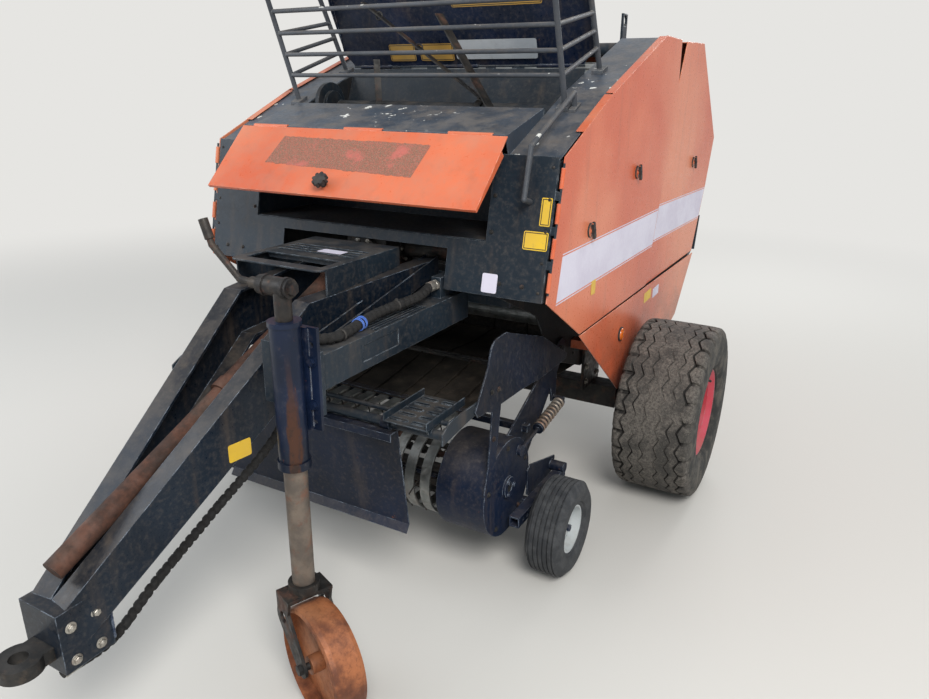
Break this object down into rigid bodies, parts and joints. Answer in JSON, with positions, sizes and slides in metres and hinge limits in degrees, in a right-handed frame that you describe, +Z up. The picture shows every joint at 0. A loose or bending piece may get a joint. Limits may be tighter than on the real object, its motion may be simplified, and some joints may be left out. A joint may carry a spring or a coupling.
{
  "type": "round baler",
  "caption": "Towed round baler with tined pickup, roller chamber, swing-up tailgate, twine box with raised lid and a parking jack.",
  "frame": {"origin": "on the floor under the middle of the bounding box, in the machine's centre plane", "axes": "+Z up, +Y to the rear, the hitch points to -Y, +X is the machine's left side"},
  "size_m": [2.455, 4.181, 2.404],
  "materials": {
    "navy_paint": "worn gloss",
    "hood_paint": "dusty satin",
    "orange_paint": "faded gloss",
    "dark_steel": "worn satin",
    "bare_steel": "worn, dull",
    "rusty_steel": "rusted, rough",
    "galvanised": "dull galvanised",
    "tyre_rubber": "dusty, worn",
    "hose_rubber": "dusty",
    "rim_red": "faded",
    "rim_grey": "faded",
    "knob_black": "matte"
  },
  "bodies": {
    "chassis": {"side_frames": "dark_steel", "cross_beam": "hood_paint", "axle": "dark_steel", "drawbar": "navy_paint", "hitch_eye": "bare_steel", "jack_beam": "hood_paint", "gearbox": "dark_steel", "pto_shaft": "rusty_steel", "driveline_guard": "hood_paint", "front_hood": "hood_paint", "twine_box": "hood_paint", "roof": "hood_paint", "net_trough": "hood_paint", "net_arms": "dark_steel", "rack": "dark_steel", "top_tube": "hood_paint", "grab_rail": "dark_steel", "lower_guards": "orange_paint", "front_rollers": "bare_steel", "side_drive": "rusty_steel", "jack_tube": "navy_paint", "jack_crank": "rusty_steel", "hoses": "hose_rubber"},
    "twine_lid": {"twine_lid": "orange_paint", "lid_knob": "knob_black"},
    "net_cover": {"net_cover": "navy_paint"},
    "door_left": {"door_left": "orange_paint"},
    "door_right": {"door_right": "orange_paint"},
    "tailgate": {"tailgate_frame": "dark_steel", "tailgate_sheet": "orange_paint", "tailgate_panels": "orange_paint", "tailgate_rollers": "bare_steel", "tail_brackets": "hood_paint"},
    "barrel_left": {"cylinder_left": "dark_steel"},
    "barrel_right": {"cylinder_right": "dark_steel"},
    "rod_left": {"rod_left": "bare_steel"},
    "rod_right": {"rod_right": "bare_steel"},
    "pickup": {"pickup_frame": "navy_paint", "stripper_bands": "galvanised", "step": "navy_paint", "gauge_arms": "navy_paint"},
    "windguard": {"windguard": "navy_paint"},
    "tine_reel": {"tine_reel": "bare_steel"},
    "gauge_wheel_left": {"gauge_tyre_left": "tyre_rubber", "gauge_rim_left": "rim_grey"},
    "gauge_wheel_right": {"gauge_tyre_right": "tyre_rubber", "gauge_rim_right": "rim_grey"},
    "wheel_left": {"tyre_left": "tyre_rubber", "rim_left": "rim_red"},
    "wheel_right": {"tyre_right": "tyre_rubber", "rim_right": "rim_red"},
    "jack_leg": {"jack_leg": "bare_steel"},
    "jack_fork": {"jack_fork": "dark_steel"},
    "jack_wheel": {"jack_wheel": "rusty_steel"}
  },
  "joints": [
    {"name": "lid_hinge", "type": "hinge", "parent": "chassis", "child": "twine_lid", "pos_m": [0, -0.4355, 1.765], "axis": [-1, 0, 0], "range_deg": [-39, 95]},
    {"name": "net_cover_hinge", "type": "hinge", "parent": "chassis", "child": "net_cover", "pos_m": [0, 0.3195, 2.012], "axis": [-1, 0, 0], "range_deg": [0, 75]},
    {"name": "door_left_hinge", "type": "hinge", "parent": "chassis", "child": "door_left", "pos_m": [0.82, -0.5065, 1.205], "axis": [0, -0.2094, -0.9778], "range_deg": [0, 100]},
    {"name": "door_right_hinge", "type": "hinge", "parent": "chassis", "child": "door_right", "pos_m": [-0.82, -0.5065, 1.205], "axis": [0, 0.2094, 0.9778], "range_deg": [0, 100]},
    {"name": "tailgate_hinge", "type": "hinge", "parent": "chassis", "child": "tailgate", "pos_m": [0, 1.1145, 2.11], "axis": [1, 0, 0], "range_deg": [0, 60]},
    {"name": "barrel_left_pivot", "type": "hinge", "parent": "chassis", "child": "barrel_left", "pos_m": [0.7, 0.5995, 1.25], "axis": [1, 0, 0], "range_deg": [-2, 8]},
    {"name": "barrel_right_pivot", "type": "hinge", "parent": "chassis", "child": "barrel_right", "pos_m": [-0.7, 0.5995, 1.25], "axis": [1, 0, 0], "range_deg": [-2, 8]},
    {"name": "rod_left_slide", "type": "slide", "parent": "barrel_left", "child": "rod_left", "axis": [0, 0.7344, 0.6787], "range_m": [0, 0.36]},
    {"name": "rod_right_slide", "type": "slide", "parent": "barrel_right", "child": "rod_right", "axis": [0, 0.7344, 0.6787], "range_m": [0, 0.36]},
    {"name": "pickup_lift", "type": "hinge", "parent": "chassis", "child": "pickup", "pos_m": [0, 0.1595, 0.8], "axis": [-1, 0, 0], "range_deg": [0, 11]},
    {"name": "windguard_swing", "type": "hinge", "parent": "pickup", "child": "windguard", "pos_m": [0, -0.9005, 0.815], "axis": [-1, 0, 0], "range_deg": [0, 11]},
    {"name": "reel_spin", "type": "hinge", "parent": "pickup", "child": "tine_reel", "pos_m": [0, -0.4305, 0.395], "axis": [1, 0, 0], "continuous": true},
    {"name": "gauge_left_spin", "type": "hinge", "parent": "pickup", "child": "gauge_wheel_left", "pos_m": [0.8375, -0.3015, 0.203], "axis": [1, 0, 0], "continuous": true},
    {"name": "gauge_right_spin", "type": "hinge", "parent": "pickup", "child": "gauge_wheel_right", "pos_m": [-0.8375, -0.3015, 0.203], "axis": [1, 0, 0], "continuous": true},
    {"name": "wheel_left_spin", "type": "hinge", "parent": "chassis", "child": "wheel_left", "pos_m": [1.04, 0.6595, 0.425], "axis": [1, 0, 0], "continuous": true},
    {"name": "wheel_right_spin", "type": "hinge", "parent": "chassis", "child": "wheel_right", "pos_m": [-1.04, 0.6595, 0.425], "axis": [1, 0, 0], "continuous": true},
    {"name": "jack_slide", "type": "slide", "parent": "chassis", "child": "jack_leg", "axis": [0, 0, 1], "range_m": [-0.03, 0.34]},
    {"name": "jack_swivel", "type": "hinge", "parent": "jack_leg", "child": "jack_fork", "pos_m": [0.375, -1.3405, 0.415], "axis": [0, 0, 1], "continuous": true},
    {"name": "jack_wheel_spin", "type": "hinge", "parent": "jack_fork", "child": "jack_wheel", "pos_m": [0.47194, -1.38085, 0.19], "axis": [-0.3843, -0.9232, 0], "continuous": true}
  ],
  "couplings": [
    {"joint": "barrel_left_pivot", "follows": "tailgate_hinge", "ratio": 0.0423},
    {"joint": "barrel_right_pivot", "follows": "tailgate_hinge", "ratio": 0.0423},
    {"joint": "rod_left_slide", "follows": "tailgate_hinge", "m_per_rad": 0.2766},
    {"joint": "rod_right_slide", "follows": "tailgate_hinge", "m_per_rad": 0.2766}
  ]
}
